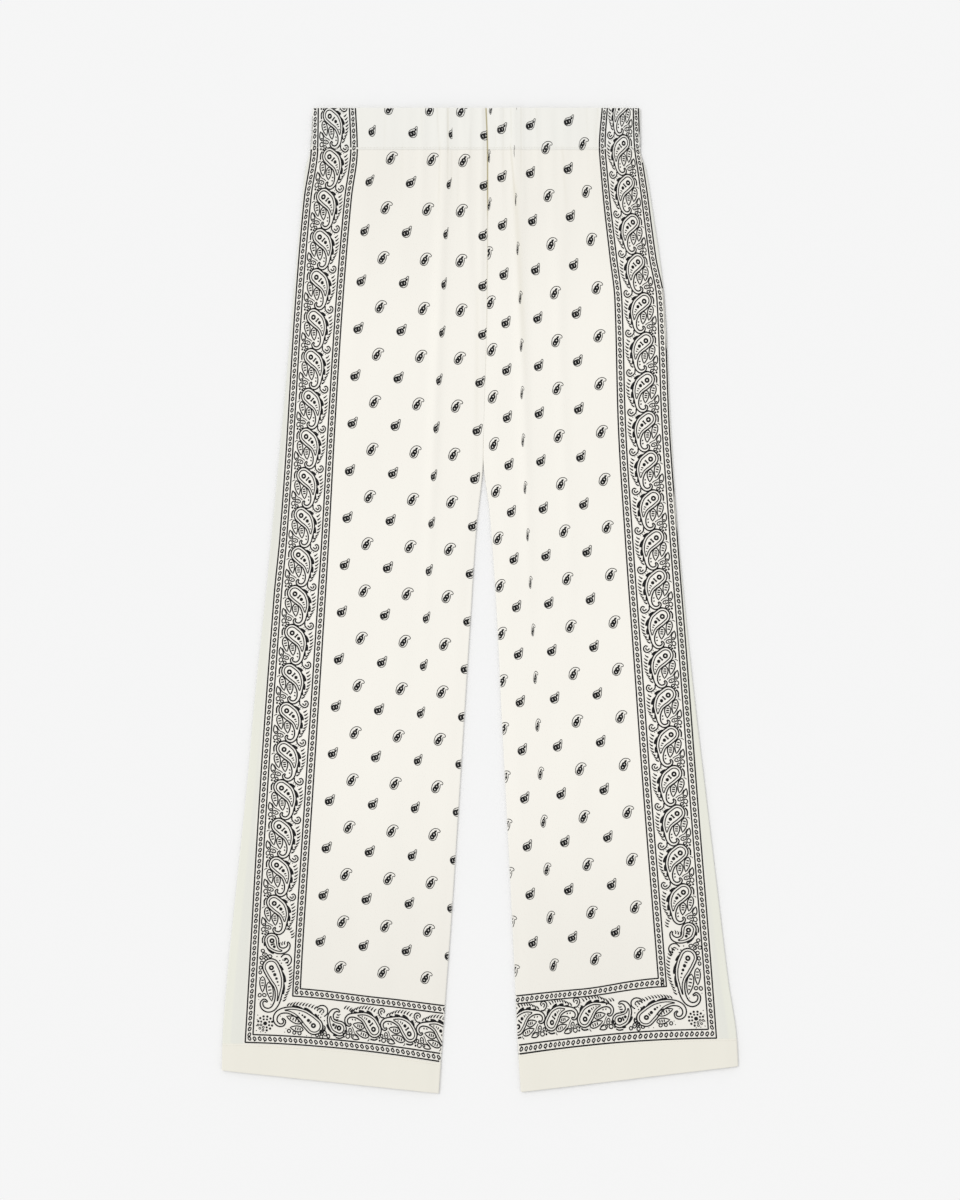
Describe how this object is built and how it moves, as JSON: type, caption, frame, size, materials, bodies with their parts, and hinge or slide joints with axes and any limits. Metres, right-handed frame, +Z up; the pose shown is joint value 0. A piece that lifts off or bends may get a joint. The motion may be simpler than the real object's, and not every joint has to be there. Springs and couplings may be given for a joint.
{
  "type": "straight-leg trousers",
  "caption": "Straight-leg pull-on trousers in cream bandana-print cloth, laid flat, with an elasticated waist casing, bordered side seams and deep plain hems.",
  "frame": {"origin": "on the surface the trousers lie on, under the middle of their outline", "axes": "+X towards the wearer's left leg, +Y towards the waist, +Z up out of the front"},
  "size_m": [0.5726, 1.0928, 0.0069],
  "materials": {
    "printed_cloth": "smooth satin-faced twill, soft sheen, black bandana print",
    "hem_cloth": "smooth satin-faced twill, soft sheen, plain"
  },
  "bodies": {
    "root": {"waist_front_right": "printed_cloth", "waist_front_left": "printed_cloth", "waist_back_right": "printed_cloth", "waist_back_left": "printed_cloth", "front_leg_right": "printed_cloth", "front_leg_left": "printed_cloth", "back_leg_right": "printed_cloth", "back_leg_left": "printed_cloth", "hem_front_right": "hem_cloth", "hem_front_left": "hem_cloth", "hem_back_right": "hem_cloth", "hem_back_left": "hem_cloth"}
  },
  "joints": []
}
